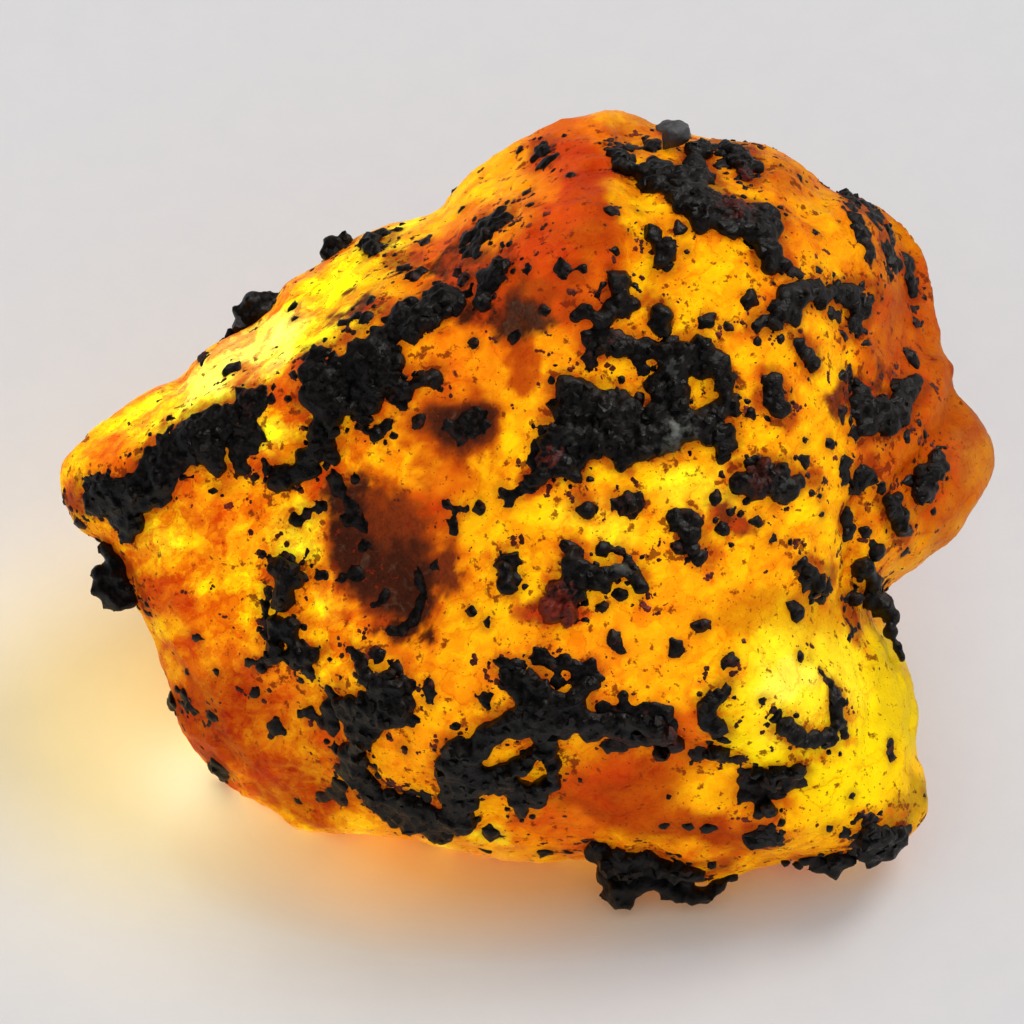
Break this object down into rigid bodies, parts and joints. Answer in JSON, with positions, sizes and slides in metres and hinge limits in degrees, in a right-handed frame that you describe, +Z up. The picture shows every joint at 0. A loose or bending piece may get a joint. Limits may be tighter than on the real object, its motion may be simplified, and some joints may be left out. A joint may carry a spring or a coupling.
{
  "type": "rough sapphire crystal",
  "caption": "Rough honey-yellow corundum pebble with a broad sloping face, a lobed right side and crusts of small black crystals grown on it, resting on a flat break.",
  "frame": {"origin": "middle of the underside of the box that holds the part, level with the flat break that it rests on", "axes": "+Z up, +X along the stone's longest side, to the right as seen from its broad sloping face, +Y away from that side"},
  "size_m": [0.037, 0.0276, 0.0242],
  "materials": {
    "corundum": "translucent honey-yellow to orange-red, uneven natural skin, slightly waxy",
    "black_mineral": "opaque black, fine-grained, small glinting facets"
  },
  "bodies": {
    "root": {"sapphire": "corundum", "crust_left_band": "black_mineral", "crust_ridge": "black_mineral", "crust_ridge_bead": "black_mineral", "crust_upper_sliver": "black_mineral", "crust_upper_patch": "black_mineral", "crust_crown": "black_mineral", "crust_shoulder": "black_mineral", "crust_shoulder_tail": "black_mineral", "crust_behind_shoulder": "black_mineral", "crust_right_rim": "black_mineral", "crust_centre": "black_mineral", "crust_above_centre": "black_mineral", "crust_above_centre_right": "black_mineral", "crust_upper_strip": "black_mineral", "crust_cluster_right": "black_mineral", "crust_right": "black_mineral", "crust_right_low": "black_mineral", "crust_right_spot": "black_mineral", "crust_right_mid": "black_mineral", "crust_right_tip": "black_mineral", "crust_mid_right": "black_mineral", "crust_mid_low": "black_mineral", "crust_mid_low_bead": "black_mineral", "crust_heart": "black_mineral", "crust_centre_left_drop": "black_mineral", "crust_centre_right_drop": "black_mineral", "crust_centre_comma": "black_mineral", "crust_left_column": "black_mineral", "crust_lower": "black_mineral", "crust_low_left_high": "black_mineral", "crust_low_left_rim": "black_mineral", "crust_right_strip": "black_mineral", "crust_lobe_hook": "black_mineral", "crust_lobe_ring": "black_mineral", "crust_lobe_cluster": "black_mineral", "crust_lobe_bar": "black_mineral", "crust_lobe_spot": "black_mineral", "crust_bottom_right": "black_mineral", "crust_notch": "black_mineral", "crust_rim_top": "black_mineral", "crust_hump_top": "black_mineral", "crust_rim_knob": "black_mineral", "crust_rim_upper": "black_mineral", "crust_rim_left": "black_mineral", "crust_crown_tip": "black_mineral", "crust_hanging": "black_mineral", "crust_bottom_right_low": "black_mineral", "crust_notch_low": "black_mineral", "crust_back_upper": "black_mineral", "crust_back_middle": "black_mineral", "crust_back_low": "black_mineral", "crust_back_left": "black_mineral", "crust_back_right": "black_mineral", "crust_back_top": "black_mineral", "crust_left_end": "black_mineral", "crust_right_end": "black_mineral"}
  },
  "joints": []
}
